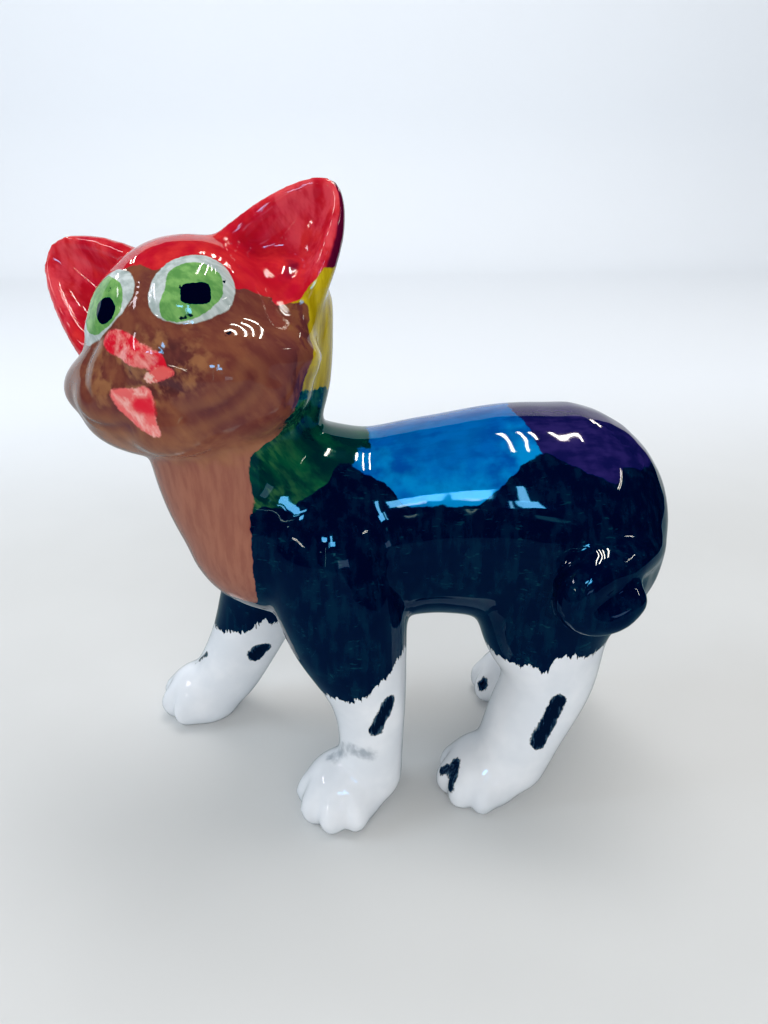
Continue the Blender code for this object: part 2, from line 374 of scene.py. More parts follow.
RIGHT_PUPIL = [(-24, 16), (-24, 21), (-20, 23), (-15, 22), (-12, 19), (-11.5, 16), (-14, 12.5),
               (-18, 11), (-22, 11.5)]
NOSE = [(-21.5, 2), (-20.5, 6), (-16, 7.5), (-9, 6), (-4, 2.5), (4, -3.5), (9, -8), (11, -13),
        (7, -14.5), (-3, -11.5), (-10, -7.5), (-18, -3)]
NOSE_TIP = [(-1, -17), (3, -14.5), (9, -13.5), (15, -17), (9, -19), (1, -20)]
MOUTH = [(-19, -20), (-15, -19), (-8, -20.5), (-1, -21.5), (1, -27), (0, -34), (1, -40),
         (-3, -41), (-8, -38.5), (-14, -35), (-18, -28)]
MOUTH_BAND = [(-11, -25.5), (-5, -25), (0.5, -26.5), (0.5, -32.5), (-6, -32), (-12, -29.5)]

# Ends of the dark flecks round the irises, and half their width, in degrees
FLECKS = [((20, 6.5), (26, 7.5), 0.9), ((21.5, 20), (22.5, 21.5), 0.7),
          ((43, 22.5), (44, 24), 0.8), ((-16, 26), (-15.5, 27), 0.6),
          ((-29, 32.5), (-27, 33.5), 0.7), ((39, -3), (41, -2), 0.8)]

# Creases beside the muzzle, mirrored on the other side: the smile and the rise of the nose
SMILE = [(46, -20), (43, -26), (37, -31), (28, -35), (16, -37)]
MUZZLE_RISE = [(23, 6), (32, 2), (36, -4), (34, -10), (31, -17), (27, -23)]

# Lower edge of the red, and rear edge of the brown, on the head
RED_EDGE = [(-180, 24), (-130, 22), (-105, 16), (-88, 4), (-79, 6), (-72, 15), (-57, 18),
            (-48, 22), (-30, 32), (-16, 38), (-10, 39), (-3, 38.5), (4, 36), (9, 33), (15, 34),
            (30, 32), (48, 22), (55, 21), (62, 19), (72, 17.5), (78, 12.5), (80, 15), (82, 20.5),
            (90, 21), (105, 24), (130, 28), (180, 30)]
FACE_REAR = [(-90, 56), (-63, 65), (-56, 74), (-47, 76), (-38, 76), (-30, 75), (-20, 75.5),
             (-14, 75), (-5, 79), (4, 82), (9, 80), (13, 78), (20, 76), (90, 76)]

# Edges on the body, in shares of the height: bib (z, y), top of the black (y, z)
BIB_REAR = [(0.30, -0.236), (0.40, -0.233), (0.50, -0.228), (0.57, -0.228), (0.606, -0.230),
            (0.639, -0.228), (0.652, -0.210), (0.672, -0.180), (0.723, -0.159), (0.77, -0.145)]
BLACK_TOP_LEFT = [(-0.30, 0.555), (-0.236, 0.555), (-0.217, 0.564), (-0.187, 0.562),
                  (-0.165, 0.567), (-0.141, 0.578), (-0.118, 0.588), (-0.104, 0.606),
                  (-0.085, 0.604), (-0.062, 0.593), (-0.045, 0.586), (-0.025, 0.576),
                  (-0.006, 0.556), (0.046, 0.555), (0.103, 0.559), (0.135, 0.581),
                  (0.164, 0.603), (0.189, 0.616), (0.212, 0.622), (0.233, 0.613),
                  (0.271, 0.598), (0.313, 0.583), (0.330, 0.598), (0.371, 0.586), (0.45, 0.575)]
BLACK_TOP_RIGHT = [(-0.30, 0.545), (-0.240, 0.555), (-0.160, 0.580), (-0.090, 0.598),
                   (-0.020, 0.566), (0.090, 0.556), (0.170, 0.600), (0.220, 0.618),
                   (0.300, 0.590), (0.371, 0.590), (0.45, 0.575)]

# Upper edge of the white on each leg (y, z)
WHITE_TOP_LEFT_FRONT = [(-0.22, 0.250), (-0.145, 0.250), (-0.112, 0.249), (-0.089, 0.252),
                        (-0.074, 0.262), (-0.060, 0.276), (-0.045, 0.286), (-0.028, 0.302),
                        (-0.009, 0.311), (0.050, 0.315)]
WHITE_TOP_RIGHT_FRONT = [(-0.42, 0.205), (-0.328, 0.217), (-0.303, 0.222), (-0.273, 0.236),
                         (-0.237, 0.258), (-0.213, 0.250), (0.050, 0.250)]
WHITE_TOP_LEFT_HIND = [(0.05, 0.275), (0.160, 0.286), (0.190, 0.292), (0.219, 0.289),
                       (0.229, 0.318), (0.265, 0.313), (0.296, 0.311), (0.420, 0.310)]
WHITE_TOP_RIGHT_HIND = [(0.05, 0.265), (0.25, 0.275), (0.33, 0.290), (0.42, 0.300)]

# Black brush marks on the white legs: two ends of the stroke and its half width
BRUSH_MARKS = [
    ((0.204, -0.058, 0.190), (0.197, -0.034, 0.240), 0.0118),
    ((-0.046, -0.262, 0.170), (-0.046, -0.250, 0.184), 0.0175),
    ((-0.121, -0.394, 0.112), (-0.095, -0.360, 0.148), 0.0050),
    ((0.212, 0.212, 0.148), (0.205, 0.240, 0.226), 0.0142),
    ((0.168, 0.086, 0.072), (0.188, 0.074, 0.042), 0.0115),
    ((0.158, 0.064, 0.050), (0.168, 0.084, 0.070), 0.0080),
    ((-0.080, 0.186, 0.040), (-0.075, 0.182, 0.062), 0.0110),
    ((-0.052, 0.225, 0.060), (-0.048, 0.235, 0.085), 0.0110),
    ((-0.186, -0.300, 0.130), (-0.180, -0.262, 0.190), 0.0130),
    ((-0.178, 0.318, 0.110), (-0.176, 0.340, 0.185), 0.0140),
]

# Faint grey smudge over the left front paw
SMUDGES = [
    ((0.156, -0.129, 0.098), (0.187, -0.098, 0.143), 0.0110),
    ((0.187, -0.098, 0.143), (0.201, -0.066, 0.140), 0.0110),
]


def to_line(u, v, stations):
    """Distance from each point to the smooth open line through the stations."""
    line = through(stations, 6)
    start, run = line[:-1], np.diff(line, axis=0)
    gap = np.full(len(u), 99.0)
    near = np.nonzero((u > line[:, 0].min() - 12) & (u < line[:, 0].max() + 12)
                      & (v > line[:, 1].min() - 12) & (v < line[:, 1].max() + 12))[0]
    pu, pv = u[near, None] - start[:, 0], v[near, None] - start[:, 1]
    share = np.clip((pu * run[:, 0] + pv * run[:, 1]) / (run**2).sum(1), 0, 1)
    gap[near] = np.hypot(pu - share * run[:, 0], pv - share * run[:, 1]).min(1)
    return gap


# Grooves between the toes: depth in millimetres, and middles and half width in degrees
TOE_GROOVE_DEPTH = 0.8
TOE_GROOVES = (-38, 0, 38)
TOE_GROOVE_HALF = 7


def toe_grooves(surface):
    """Grooves between the toes, in millimetres: bells across the angle about a paw's middle."""
    low = smooth_share(0.085 - surface.z, 0, 0.03)
    total = np.zeros(len(surface.z))
    for place, turn in PAWS:
        left, forward = ((surface.place - (*place, 0)) @ facing(turn, 0.0, 0.0)).T[:2]
        angle, reach = np.degrees(np.arctan2(left, forward)), np.hypot(left, forward)
        near = smooth_share(reach, 0.035, 0.065) * smooth_share(0.13 - reach, 0, 0.02)
        for middle in TOE_GROOVES:
            bell = np.exp(-((angle - middle) / TOE_GROOVE_HALF) ** 2)
            total -= TOE_GROOVE_DEPTH * bell * near * low
    return total


def relief(surface):
    """How far the finer modelling stands out of the fused forms, in millimetres.

    Creases are bell-shaped grooves along a line, eyes are low domes inside their outlines,
    and lips and cheek are bells about a point.
    """
    aside, above = surface.aside, surface.above
    on_head = smooth_share(0.225 - surface.reach, 0, 0.02)

    def groove(stations, depth, half_width):
        gap = to_line(abs(aside), above, stations)
        ends = np.array(stations)[[0, -1]]
        run_out = np.min([np.hypot(abs(aside) - a, above - e) for a, e in ends], axis=0)
        return -depth * np.exp(-(gap / half_width) ** 2) * smooth_share(run_out, 0, 7)

    def dome(outline, rise):
        inside = in_outline(aside, above, outline)
        return rise * smooth_share(inside, -1.5, 9.0) - 0.35 * np.exp(-((inside + 0.5) / 1.6) ** 2)

    far_side = smooth_share(-aside, -6, 6)
    cheek_rise = 1.0 * np.exp(-((abs(aside) - 25) / 10) ** 2 - ((above + 4) / 7) ** 2)
    face = (groove(SMILE, 0.55, 2.4) + groove(MUZZLE_RISE, 0.7, 3.0) * far_side
            + cheek_rise * (1 - far_side)
            + groove([(-3, -14), (-1, -18), (0, -21)], 0.5, 1.6)
            + groove([(-1, -22.5), (8, -22), (15, -24.5), (20, -28)], 0.6, 1.6)
            + groove([(4, -9), (8, -11.5), (12, -9.5)], 0.8, 1.8)
            + dome(LEFT_EYE_WHITE, 1.0) + dome(RIGHT_EYE_WHITE, 1.0))
    lower_lip = np.exp(-((aside + 6) / 9) ** 2 - ((above + 29) / 5) ** 2)
    upper_lip = np.exp(-((abs(aside) - 12) / 9) ** 2 - ((above + 15) / 6) ** 2)
    return toe_grooves(surface) + on_head * (face + 0.7 * lower_lip + 0.6 * upper_lip)


def paint_edges(surface):
    """Distances in millimetres to the edge of each painted area, positive inside it."""
    x, y, z = surface.x, surface.y, surface.z
    aside, above, reach = surface.aside, surface.above, surface.reach
    scale = HEIGHT / MILLIMETRE
    left_side = smooth_share(x, -0.05, 0.05)

    on_head = (HEAD_REACH - reach) * scale
    red = (above - along_edge(aside, RED_EDGE)) * FACE_ARC
    lobe = np.maximum(z - 0.888, 0.85 * (z - 0.85) - 0.147 - y) * scale
    below_ear = (aside > 72) & (aside < 110) & (x > 0.03)
    red = np.where(below_ear, np.minimum(lobe, (above - 12.5) * FACE_ARC), red)
    red = np.minimum(red, (z - 0.66) * scale)
    face = (along_edge(above, FACE_REAR) - abs(aside)) * FACE_ARC * np.cos(np.radians(above))
    face = np.minimum(face, on_head)
    bib = np.minimum((along_edge(z, BIB_REAR) - y) * scale, (0.69 - z) * scale)
    black_top = (left_side * along_edge(y, BLACK_TOP_LEFT)
                 + (1 - left_side) * along_edge(y, BLACK_TOP_RIGHT))
    black_front = y + 0.275 - 0.041 * left_side
    black = np.minimum(black_top - z, np.maximum(black_front, 0.392 - z)) * scale
    front = y < 0.05
    white_top = np.where(
        front,
        np.where(x > 0, along_edge(y, WHITE_TOP_LEFT_FRONT), along_edge(y, WHITE_TOP_RIGHT_FRONT)),
        np.where(x > 0, along_edge(y, WHITE_TOP_LEFT_HIND), along_edge(y, WHITE_TOP_RIGHT_HIND)))
    white = np.minimum(white_top - z, abs(x) - 0.020) * scale
    marks = np.max([in_stroke(surface.place, *mark) for mark in BRUSH_MARKS], axis=0)
    smudge = np.max([in_stroke(surface.place, *mark) for mark in SMUDGES], axis=0)

    def on_face(outline):
        return np.minimum(in_outline(aside, above, outline) * FACE_ARC, on_head)

    # Backs of the ears, picked by which way the surface faces, for a darker maroon that is partly
    # painted shade.
    outward, forward = surface.head_normal[:, 0], surface.head_normal[:, 1]
    outer_half = 0.72 * (surface.head[:, 0] - 0.106) > 0.69 * (surface.head[:, 2] - 0.068)
    ear_back_shade = np.maximum(-0.10 - forward,
                          np.minimum(outward - 0.35, 0.90 - forward) * outer_half)
    ear_back_shade = np.where((reach > 0.17) & (above > 4), 10 * ear_back_shade, -9.0)
    angles = np.stack([aside, above], 1)
    flecks = np.max([in_stroke(angles, *fleck) for fleck in FLECKS], axis=0)
    flecks = np.minimum(flecks / scale * FACE_ARC, on_head)

    return {
        "green_edge": np.maximum(-0.062 - 2.6 * x * x - y,
                                 np.minimum(z - 0.615, -0.05 - y)) * scale,
        "yellow_edge": np.minimum(z - 0.700 - 0.25 * abs(x), 0.05 - y) * scale,
        "purple_edge": (y - 0.178 - 0.22 * abs(x)) * scale,
        "brown_edge": np.maximum(face, bib),
        "chest_edge": (0.655 - z) * scale,
        "red_edge": red,
        "ear_back_shade_edge": ear_back_shade,
        "ear_cup_edge": (reach - 0.185) * scale * (forward > -0.2) - 9.0 * (above < 12),
        "black_edge": black,
        "white_edge": white,
        "marks_edge": marks,
        "smudge_edge": smudge,
        "eye_white_edge": np.maximum(on_face(LEFT_EYE_WHITE), on_face(RIGHT_EYE_WHITE)),
        "eye_green_edge": np.maximum(on_face(LEFT_EYE_GREEN), on_face(RIGHT_EYE_GREEN)),
        "pupil_edge": np.maximum(on_face(LEFT_PUPIL), on_face(RIGHT_PUPIL)),
        "nose_edge": np.maximum(on_face(NOSE), on_face(NOSE_TIP)),
        "nose_tip_edge": on_face(NOSE_TIP),
        "mouth_edge": on_face(MOUTH),
        "mouth_band_edge": on_face(MOUTH_BAND),
        "fleck_edge": flecks,
        "smile_edge": np.minimum((2.6 - to_line(abs(aside), above, SMILE)) * FACE_ARC, on_head),
        "muzzle_edge": (27 - np.hypot(aside * 0.55, above + 12)) * FACE_ARC,
    }


def cheek_share(surface):
    """1 over the left cheek, falling smoothly to 0 at an ellipse of half spans round it."""
    aside = (surface.aside - CHEEK_MIDDLE[0]) / CHEEK_HALF[0]
    above = (surface.above - CHEEK_MIDDLE[1]) / CHEEK_HALF[1]
    on_head = smooth_share(HEAD_REACH - surface.reach, 0, 0.02)
    return smooth_share(1 - np.hypot(aside, above), 0, 0.4) * on_head


def eased(mesh, place, share, rounds):
    """Points drawn half way to the mean of their neighbours in each round, by their share."""
    ends = np.empty(len(mesh.edges) * 2, int)
    mesh.edges.foreach_get("vertices", ends)
    ends = ends.reshape(-1, 2)
    first, second = ends[(share[ends] > 0).any(1)].T
    here, there = np.concatenate([first, second]), np.concatenate([second, first])
    count = len(place)
    met = np.maximum(np.bincount(here, minlength=count), 1)[:, None]
    for _ in range(rounds):
        total = np.stack([np.bincount(here, along[there], count) for along in place.T], 1)
        place = place + 0.5 * share[:, None] * (total / met - place)
    return place


def painted_kitten():
    """The fine casting, in relief, flat on the floor, with its painted areas as attributes.

    Also gives how far the body's frame is moved to stand in the part's place.
    """
    mesh = cast_mesh()
    count = len(mesh.vertices)
    place, normal = np.empty(count * 3), np.empty(count * 3)
    mesh.vertices.foreach_get("co", place)
    mesh.vertex_normals.foreach_get("vector", normal)
    place, normal = place.reshape(-1, 3) / HEIGHT, normal.reshape(-1, 3)
    surface = Surface(place, normal)
    for name, values in paint_edges(surface).items():
        layer = mesh.attributes.new(name, "FLOAT", "POINT")
        layer.data.foreach_set("value", values.astype(np.float32))
    place += normal * relief(surface)[:, None] * MILLIMETRE / HEIGHT
    place = eased(mesh, place, cheek_share(surface), CHEEK_ROUNDS)
    z = place[:, 2]
    place[:, 2] = 0.5 * (z + np.sqrt(z * z + SOLE_SOFT**2))
    place *= HEIGHT
    shift = (np.sum(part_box("kitten"), 0) - place.min(0) - place.max(0)) / 2
    shift[2] = 0
    place += shift
    mesh.vertices.foreach_set("co", place.ravel())
    mesh.update()
    kitten = bpy.data.objects.new("painted_kitten", mesh)
    bpy.context.scene.collection.objects.link(kitten)
    mesh.materials.clear()
    mesh.materials.append(painted_glaze())
    return kitten, shift


class Wire:
    """Socket of a shader node. Sums, products and the like of wires add Math nodes."""

    def __init__(self, sheet, socket):
        self.sheet, self.socket = sheet, socket

    def maths(self, operation, first, second):
        return self.sheet.wire("Math", {"operation": operation}, {0: first, 1: second})

    def __add__(self, other):
        return self.maths("ADD", self, other)

    def __radd__(self, other):
        return self.maths("ADD", other, self)

    def __sub__(self, other):
        return self.maths("SUBTRACT", self, other)

    def __rsub__(self, other):
        return self.maths("SUBTRACT", other, self)

    def __mul__(self, other):
        return self.maths("MULTIPLY", self, other)

    def __rmul__(self, other):
        return self.maths("MULTIPLY", other, self)


class Sheet:
    """Node tree of one material."""

    def __init__(self, name):
        self.material = bpy.data.materials.new(name)
        self.material.use_nodes = True
        self.tree = self.material.node_tree
        self.tree.nodes.clear()

    def node(self, kind, settings, values):
        """Adds a node: its settings first, then the value or the wire of each socket."""
        made = self.tree.nodes.new("ShaderNode" + kind)
        for name, setting in settings.items():
            setattr(made, name, setting)
        for socket, value in values.items():
            if isinstance(value, Wire):
                self.tree.links.new(value.socket, made.inputs[socket])
            else:
                made.inputs[socket].default_value = value
        return made

    def wire(self, kind, settings, values, output=0):
        """Adds a node and gives the wire from one of its outputs."""
        return Wire(self, self.node(kind, settings, values).outputs[output])

    def finish(self, values):
        """Principled surface with these socket values, linked to the output."""
        shader = self.wire("BsdfPrincipled", {}, values)
        self.node("OutputMaterial", {}, {"Surface": shader})
        return self.material

    def edge(self, name):
        """Distance in millimetres stored on the mesh for one painted area."""
        return self.wire("Attribute", {"attribute_name": name}, {}, "Fac")

    def step(self, value, low, high):
        """Smooth step of a wire from 0 at low to 1 at high."""
        return self.wire("MapRange", {"interpolation_type": "SMOOTHSTEP"},
                         {"Value": value, "From Min": low, "From Max": high})

    def mix(self, share, under, over):
        """Colour between under and over."""
        return self.wire("Mix", {"data_type": "RGBA"}, {0: share, 6: under, 7: over}, 2)

    def noise(self, where, per_metre, detail=3.0):
        """Cloudy noise of 0 to 1, with so many waves to the metre."""
        return self.wire("TexNoise", {}, {"Vector": where, "Scale": per_metre,
                                          "Detail": detail, "Roughness": 0.55})

    def strokes(self, where, turned, stretch):
        """Coordinates turned and drawn out along the turned z, so that noise runs in strokes."""
        turned = [math.radians(angle) for angle in turned]
        return self.wire("Mapping", {"vector_type": "TEXTURE"},
                         {"Vector": where, "Rotation": turned, "Scale": (1.0, 1.0, stretch)})


def tint(red, green, blue):
    """Colour from screen values of 0 to 255, made linear."""
    share = np.array([red, green, blue]) / 255
    linear = np.where(share < 0.04045, share / 12.92, ((share + 0.055) / 1.055) ** 2.4)
    return (*linear.tolist(), 1.0)


def painted_glaze():
    """Brushed colours laid over one another under clear gloss, each inside its own edge."""
    sheet = Sheet("painted_glaze")
    where = sheet.wire("TexCoord", {}, {}, "Object")
    down = sheet.strokes(where, (0, 0, 0), 5.0)
    slant = sheet.strokes(where, (35, 0, 20), 4.0)
    level = sheet.strokes(where, (90, 0, 0), 4.0)
    wobble = sheet.noise(where, 240.0) - 0.5
    fine = sheet.noise(where, 1100.0) - 0.5
    down_streak = sheet.noise(down, 380.0, 4.0)
    down_hair = sheet.noise(down, 1300.0, 2.0)
    slant_streak = sheet.noise(slant, 420.0, 4.0)
    slant_broad = sheet.noise(slant, 170.0)
    down_broad = sheet.noise(down, 150.0)
    level_streak = sheet.noise(level, 300.0, 4.0)
    level_hair = sheet.noise(level, 1200.0, 2.0)
    cloud = sheet.noise(where, 60.0)
    patch = sheet.noise(where, 130.0)

    def area(name, waver, hair, soft):
        """Share painted: the stored distance with a wavering, hairy edge, softened."""
        distance = sheet.edge(name) + wobble * waver + hair
        return sheet.step(distance, -soft, soft)

    def two_tone(share, low, high, dark, light):
        return sheet.mix(sheet.step(share, low, high), dark, light)

    blue = two_tone(level_streak + patch, 0.80, 1.20, tint(0, 78, 156), tint(0, 92, 176))
    near_black = sheet.step(sheet.edge("black_edge") + wobble * 12.0, -12.0, -2.0)
    pale = sheet.step(cloud + patch * 0.4, 0.56, 0.80) * (0.15 + 0.75 * near_black)
    blue = sheet.mix(pale, blue, tint(14, 134, 204))
    purple = two_tone(level_streak + patch, 0.80, 1.20, tint(38, 28, 70), tint(56, 42, 92))
    colour = sheet.mix(area("purple_edge", 3.0, (down_streak - 0.5) * 2.0, 0.35), blue, purple)
    green = two_tone(slant_broad, 0.40, 0.75, tint(0, 50, 40), tint(26, 84, 50))
    near_bib = sheet.step(sheet.edge("brown_edge") + wobble * 6.0, -14.0, -3.0)
    green = sheet.mix(0.60 * near_bib * sheet.step(slant_streak + cloud, 0.86, 1.16), green,
                      tint(88, 120, 68))
    colour = sheet.mix(area("green_edge", 3.0, (down_streak - 0.5) * 3.0, 0.35), colour, green)
    yellow = two_tone(down_streak, 0.30, 0.70, tint(158, 136, 6), tint(198, 176, 28))
    colour = sheet.mix(area("yellow_edge", 3.0, (down_streak - 0.5) * 3.0, 0.4), colour, yellow)

    face_tone = two_tone(slant_broad, 0.34, 0.70, tint(106, 64, 46), tint(128, 80, 54))
    face_tone = sheet.mix(0.30 * sheet.step(cloud, 0.46, 0.66), face_tone, tint(100, 62, 56))
    face_tone = sheet.mix(0.25 * sheet.step(slant_streak, 0.50, 0.70), face_tone,
                          tint(148, 98, 66))
    muzzle_tone = two_tone(patch + slant_streak * 0.5, 0.66, 0.86, tint(78, 50, 38),
                           tint(156, 108, 72))
    near_mouth = sheet.step(sheet.edge("muzzle_edge") + wobble * 8.0, 2.0, 9.0)
    near_mouth = near_mouth * sheet.step(patch + cloud, 0.84, 1.06)
    face_tone = sheet.mix(0.7 * near_mouth, face_tone, muzzle_tone)
    # Painted shade: darker brown along the smile crease. Painted highlight: the paler brown band
    # just below it, on the crease's lower side.
    smile_crease_shade = sheet.step(sheet.edge("smile_edge") + wobble * 1.5, -1.4, 1.2)
    face_tone = sheet.mix(0.22 * smile_crease_shade, face_tone, tint(82, 50, 36))
    smile_lower_highlight = sheet.step(sheet.edge("smile_edge"), -4.5, -1.6) * (1.0 - smile_crease_shade)
    face_tone = sheet.mix(0.22 * smile_lower_highlight, face_tone, tint(160, 112, 74))
    rear_band = sheet.step(sheet.edge("brown_edge") + wobble * 4.0, 8.0, 2.0)
    rear_tone = two_tone(down_streak, 0.42, 0.58, tint(74, 42, 38), tint(124, 82, 48))
    face_tone = sheet.mix(0.6 * rear_band, face_tone, rear_tone)
    chin_tone = two_tone(slant_broad, 0.34, 0.70, tint(152, 102, 74), tint(170, 118, 84))
    below = sheet.step(sheet.edge("chest_edge") + wobble * 8.0, -14.0, 2.0)
    outside = sheet.step(sheet.edge("muzzle_edge") + wobble * 4.0, 1.5, -2.0)
    face_tone = sheet.mix(0.85 * below * outside, face_tone, chin_tone)
    chest_tone = two_tone(down_streak, 0.30, 0.70, tint(142, 90, 72), tint(158, 104, 84))
    brown = sheet.mix(sheet.step(sheet.edge("chest_edge") + wobble * 12.0, 0.0, 8.0),
                      face_tone, chest_tone)
    colour = sheet.mix(area("brown_edge", 2.0, (slant_streak - 0.5) * 2.0, 0.3), colour, brown)

    red = two_tone(slant_broad, 0.34, 0.72, tint(186, 34, 38), tint(212, 60, 50))
    red = sheet.mix(0.5 * sheet.step(patch, 0.50, 0.70), red, tint(190, 24, 48))
    # Paler pink streaks inside the ear cups: partly thinner red brushing, partly a painted
    # reflection of the bright room.
    ear_cup_sheen = sheet.step(sheet.edge("ear_cup_edge") + wobble * 6.0, 0.0, 8.0)
    red = sheet.mix(0.6 * ear_cup_sheen * sheet.step(down_broad + slant_streak * 0.4, 0.60, 0.82), red,
                    tint(232, 92, 98))
    # Darker maroon on the backs of the ears: partly darker paint, partly painted shade.
    red = sheet.mix(sheet.step(sheet.edge("ear_back_shade_edge") + wobble * 2.0, 0.0, 2.5), red,
                    tint(92, 16, 40))
    colour = sheet.mix(area("red_edge", 1.2, (down_streak - 0.5) * 1.4, 0.3), colour, red)

    black = two_tone(down_streak * 0.7 + patch * 0.6, 0.58, 0.80, tint(2, 14, 34),
                     tint(10, 36, 48))
    black = sheet.mix(0.6 * sheet.step(level_hair + patch * 0.6, 0.96, 1.06), black,
                      tint(36, 66, 70))
    colour = sheet.mix(area("black_edge", 2.0, (down_streak - 0.5) * 1.2, 0.25), colour, black)

    white = two_tone(cloud, 0.35, 0.75, tint(224, 230, 238), tint(238, 242, 248))
    smudge = sheet.step(sheet.edge("smudge_edge") + wobble * 6.0, -1.0, 2.0)
    white = sheet.mix(0.95 * smudge * sheet.step(patch + slant_streak, 0.6, 1.1), white,
                      tint(164, 174, 186))
    dry_brush = (down_streak - 0.5) * 8.0 + (down_hair - 0.5) * 5.0
    colour = sheet.mix(area("white_edge", 2.0, dry_brush, 0.2), colour, white)
    inner = sheet.step(sheet.edge("marks_edge") + (down_hair - 0.5) * 6.0, -0.4, 1.2)
    mark = sheet.mix(inner, tint(72, 86, 98), tint(6, 12, 24))
    colour = sheet.mix(area("marks_edge", 1.6, (down_streak - 0.5) * 3.0 + fine * 1.2, 0.3),
                       colour, mark)

    eye_white = two_tone(slant_streak, 0.30, 0.70, tint(160, 176, 176), tint(206, 216, 218))
    colour = sheet.mix(area("eye_white_edge", 1.2, 0.0, 0.25), colour, eye_white)
    eye_green = two_tone(slant_streak, 0.35, 0.70, tint(92, 146, 78), tint(128, 180, 104))
    colour = sheet.mix(area("eye_green_edge", 1.0, fine * 0.5, 0.15), colour, eye_green)
    colour = sheet.mix(area("pupil_edge", 0.6, fine * 0.4, 0.12), colour, tint(2, 6, 24))
    colour = sheet.mix(area("fleck_edge", 0.6, fine * 0.6, 0.15), colour, tint(30, 30, 30))

    nose = two_tone(slant_streak * 0.6 + patch * 0.6 + fine * 0.1, 0.50, 0.76, tint(214, 38, 44),
                    tint(240, 156, 152))
    colour = sheet.mix(area("nose_edge", 1.4, fine * 1.0, 0.3), colour, nose)
    mouth = two_tone(slant_streak + fine * 0.1, 0.40, 0.70, tint(230, 104, 104),
                     tint(242, 182, 176))
    colour = sheet.mix(area("mouth_edge", 1.2, fine * 1.0, 0.3), colour, mouth)
    colour = sheet.mix(0.9 * area("mouth_band_edge", 1.6, fine * 0.8, 0.9), colour,
                       tint(218, 40, 48))
    tip = two_tone(fine * 0.4 + patch, 0.44, 0.60, tint(224, 96, 92), tint(236, 196, 186))
    colour = sheet.mix(area("nose_tip_edge", 1.2, fine * 1.2, 0.4), colour, tip)

    ripple = sheet.noise(where, 110.0, 1.0)
    bump = sheet.wire("Bump", {}, {"Strength": 0.06, "Distance": 0.0012, "Height": ripple})
    return sheet.finish({"Base Color": colour, "Roughness": 0.03 + 0.03 * cloud,
                         "Normal": bump, "IOR": 1.42})


def paper(name, floor_low, floor_high, wall):
    """Pale matt paper with a faint unevenness, paler up the wall than on the floor: the paler wall
    is painted light.
    """
    sheet = Sheet(name)
    where = sheet.wire("TexCoord", {}, {}, "Object")
    ahead = sheet.wire("SeparateXYZ", {}, {"Vector": where}, "X")
    floor_tone = sheet.mix(sheet.step(sheet.noise(where, 6.0), 0.3, 0.7), floor_low, floor_high)
    # Paler colour up the wall: painted light, for the wall being lit more than the floor.
    tone = sheet.mix(sheet.step(ahead, -0.12, -0.55), floor_tone, wall)
    return sheet.finish({"Base Color": tone, "Roughness": 0.7, "Specular IOR Level": 0.3})


def sweep(name, material, front, turn_at, top, right):
    """Sheet of paper: flat on the floor, then a quarter round behind the kitten, then upright.

    Front is where it ends towards the camera, turn_at where its round starts, top is its
    height and right its side end.
    """
    radius = 0.30
    bend = np.linspace(0, math.pi / 2, 25)
    profile = np.concatenate([[(front, 0.0)],
                              np.stack([turn_at - radius * np.sin(bend),
                                        radius * (1 - np.cos(bend))], 1),
                              [(turn_at - radius, top)]])
    across = np.array([-2.0, right])
    points = np.stack([np.repeat(profile[:, 0], 2), np.tile(across, len(profile)),
                       np.repeat(profile[:, 1], 2)], 1)
    row = np.arange(len(profile) - 1) * 2
    faces = np.stack([row, row + 1, row + 3, row + 2], 1)
    mesh = bpy.data.meshes.new(name)
    mesh.from_pydata(points.tolist(), [], faces.tolist())
    mesh.shade_smooth()
    mesh.materials.append(material)
    sheet = bpy.data.objects.new(name, mesh)
    bpy.context.scene.collection.objects.link(sheet)
    return sheet


def backdrop():
    """The paper that is seen, and the darker, narrower room that the glaze mirrors."""
    # Both papers are paler up the wall than on the floor: painted light.
    seen = sweep("paper_sweep", paper("pale_paper", tint(212, 214, 215), tint(217, 219, 220),
                                      tint(240, 245, 251)), 1.6, -1.30, 0.70, 2.0)
    seen.visible_glossy = False
    mirrored = sweep("mirrored_room", paper("dim_paper", tint(118, 132, 138),
                                            tint(132, 146, 152), tint(236, 242, 250)),
                     2.0, -0.16, 0.50, 0.42)
    mirrored.location = (0.001, 0.0, 0.001)
    mirrored.visible_camera = False
    mirrored.visible_diffuse = False
    mirrored.visible_shadow = False
    return seen, mirrored


# Photo's camera: place in the body's frame, in shares of the height, its angle below level,
# and the way it looks over the floor
CAMERA_SHARE = np.array([1.171, -0.134, 1.030])
CAMERA_DOWN = 25.0
CAMERA_AHEAD = (-0.9956, 0.0934)
LENS = 36.05
FILM_WIDTH = 36.0


def camera_place(shift):
    """Place of the photo's camera, in metres."""
    return (CAMERA_SHARE * HEIGHT + shift).tolist()


def camera(place):
    """Camera at the photo's angle, held level."""
    down = math.radians(CAMERA_DOWN)
    ahead = Vector((CAMERA_AHEAD[0], CAMERA_AHEAD[1], 0.0)).normalized()
    look = ahead * math.cos(down) - Vector((0.0, 0.0, math.sin(down)))
    right = look.cross(Vector((0.0, 0.0, 1.0))).normalized()
    turned = Matrix((right, right.cross(look), -look)).transposed()
    data = bpy.data.cameras.new("camera")
    data.sensor_fit = "HORIZONTAL"
    data.sensor_width = FILM_WIDTH
    data.lens = LENS
    data.clip_start = 0.01
    eye = bpy.data.objects.new("camera", data)
    eye.matrix_world = Matrix.Translation(place) @ turned.to_4x4()
    bpy.context.scene.collection.objects.link(eye)
    bpy.context.scene.camera = eye


